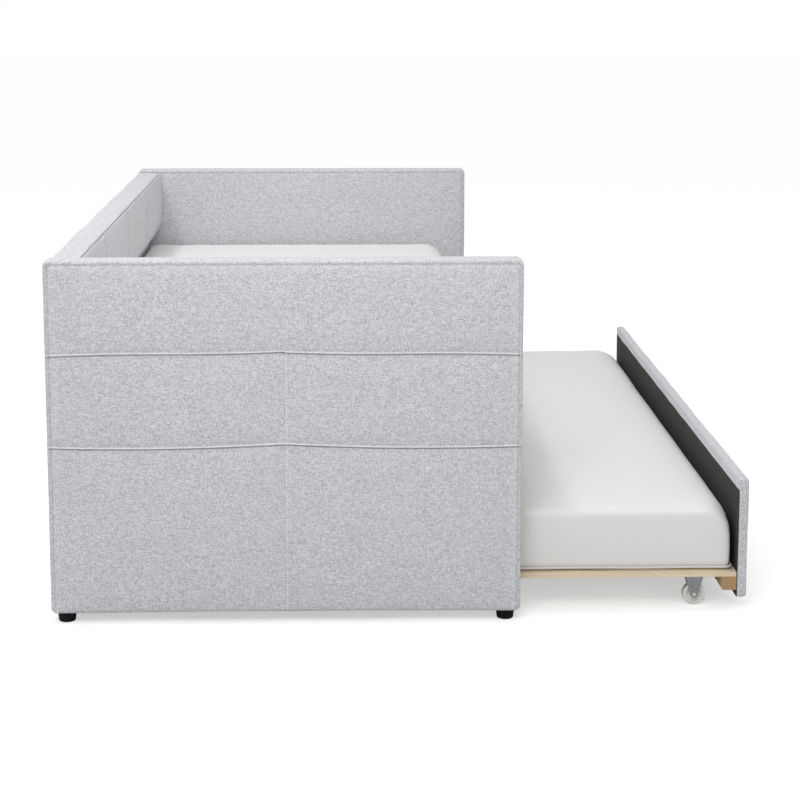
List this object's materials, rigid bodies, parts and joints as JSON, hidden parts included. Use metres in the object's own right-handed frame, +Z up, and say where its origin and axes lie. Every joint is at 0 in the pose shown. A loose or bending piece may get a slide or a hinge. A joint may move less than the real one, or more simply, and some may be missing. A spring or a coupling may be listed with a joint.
{
  "type": "trundle bed",
  "caption": "Upholstered daybed with padded arms and a channelled back, and a second bed on casters that rolls out from under its slats, with a mattress on each level.",
  "frame": {"origin": "on the floor, at the bottom centre of the whole bed with its trundle rolled out as stored", "axes": "+X along the bed's length to the right arm seen from the front, -Y to the front where the trundle rolls out, +Z up"},
  "size_m": [2.058, 1.658, 0.865],
  "materials": {
    "grey_linen": "matte",
    "black_lining": "matte",
    "mattress_knit": "matte",
    "pine": "matte",
    "plywood": "matte",
    "hardboard": "matte",
    "black_plastic": "satin",
    "webbing": "matte",
    "zinc_steel": "satin",
    "white_nylon": "satin"
  },
  "bodies": {
    "daybed": {"back_board": "plywood", "back_cover": "grey_linen", "back_frame": "pine", "back_pad": "grey_linen", "back_slat_ledger": "pine", "bed_mattress": "mattress_knit", "bed_slat_straps": "webbing", "bed_slats": "pine", "bracket_bolts": "zinc_steel", "corner_brackets": "zinc_steel", "foot_screws": "zinc_steel", "front_left_foot": "black_plastic", "front_rail": "pine", "front_rail_cover": "grey_linen", "front_right_foot": "black_plastic", "front_slat_ledger": "pine", "ledger_screws": "zinc_steel", "left_arm_base_lining": "black_lining", "left_arm_cover": "grey_linen", "left_arm_frame": "pine", "left_arm_skins": "hardboard", "rear_left_foot": "black_plastic", "rear_right_foot": "black_plastic", "right_arm_base_lining": "black_lining", "right_arm_cover": "grey_linen", "right_arm_frame": "pine", "right_arm_skins": "hardboard", "slat_screws": "zinc_steel", "threaded_inserts": "zinc_steel"},
    "trundle": {"caster_axles": "zinc_steel", "caster_screws": "zinc_steel", "front_left_caster_fork": "zinc_steel", "front_middle_caster_fork": "zinc_steel", "front_right_caster_fork": "zinc_steel", "rear_left_caster_fork": "zinc_steel", "rear_middle_caster_fork": "zinc_steel", "rear_right_caster_fork": "zinc_steel", "trundle_back_ledger": "pine", "trundle_back_rail": "pine", "trundle_front_board": "plywood", "trundle_front_cover": "grey_linen", "trundle_front_ledger": "pine", "trundle_front_lining": "black_lining", "trundle_ledger_screws": "zinc_steel", "trundle_left_board": "plywood", "trundle_mattress": "mattress_knit", "trundle_middle_board": "plywood", "trundle_right_board": "plywood", "trundle_slat_screws": "zinc_steel", "trundle_slat_straps": "webbing", "trundle_slats": "pine"},
    "front_left_wheel": {"front_left_caster_wheel": "white_nylon"},
    "front_middle_wheel": {"front_middle_caster_wheel": "white_nylon"},
    "front_right_wheel": {"front_right_caster_wheel": "white_nylon"},
    "rear_left_wheel": {"rear_left_caster_wheel": "white_nylon"},
    "rear_middle_wheel": {"rear_middle_caster_wheel": "white_nylon"},
    "rear_right_wheel": {"rear_right_caster_wheel": "white_nylon"}
  },
  "joints": [
    {"name": "trundle_slide", "type": "slide", "parent": "daybed", "child": "trundle", "axis": [0, -1, 0], "range_m": [-0.553, 0.49]},
    {"name": "front_left_wheel_roll", "type": "hinge", "parent": "trundle", "child": "front_left_wheel", "pos_m": [-0.914, -0.709, 0.027], "axis": [1, 0, 0], "continuous": true},
    {"name": "front_middle_wheel_roll", "type": "hinge", "parent": "trundle", "child": "front_middle_wheel", "pos_m": [0, -0.709, 0.027], "axis": [1, 0, 0], "continuous": true},
    {"name": "front_right_wheel_roll", "type": "hinge", "parent": "trundle", "child": "front_right_wheel", "pos_m": [0.914, -0.709, 0.027], "axis": [1, 0, 0], "continuous": true},
    {"name": "rear_left_wheel_roll", "type": "hinge", "parent": "trundle", "child": "rear_left_wheel", "pos_m": [-0.914, 0.117, 0.027], "axis": [1, 0, 0], "continuous": true},
    {"name": "rear_middle_wheel_roll", "type": "hinge", "parent": "trundle", "child": "rear_middle_wheel", "pos_m": [0, 0.117, 0.027], "axis": [1, 0, 0], "continuous": true},
    {"name": "rear_right_wheel_roll", "type": "hinge", "parent": "trundle", "child": "rear_right_wheel", "pos_m": [0.914, 0.117, 0.027], "axis": [1, 0, 0], "continuous": true}
  ],
  "couplings": [
    {"joint": "front_left_wheel_roll", "follows": "trundle_slide", "rad_per_m": 37.037},
    {"joint": "front_middle_wheel_roll", "follows": "trundle_slide", "rad_per_m": 37.037},
    {"joint": "front_right_wheel_roll", "follows": "trundle_slide", "rad_per_m": 37.037},
    {"joint": "rear_left_wheel_roll", "follows": "trundle_slide", "rad_per_m": 37.037},
    {"joint": "rear_middle_wheel_roll", "follows": "trundle_slide", "rad_per_m": 37.037},
    {"joint": "rear_right_wheel_roll", "follows": "trundle_slide", "rad_per_m": 37.037}
  ]
}
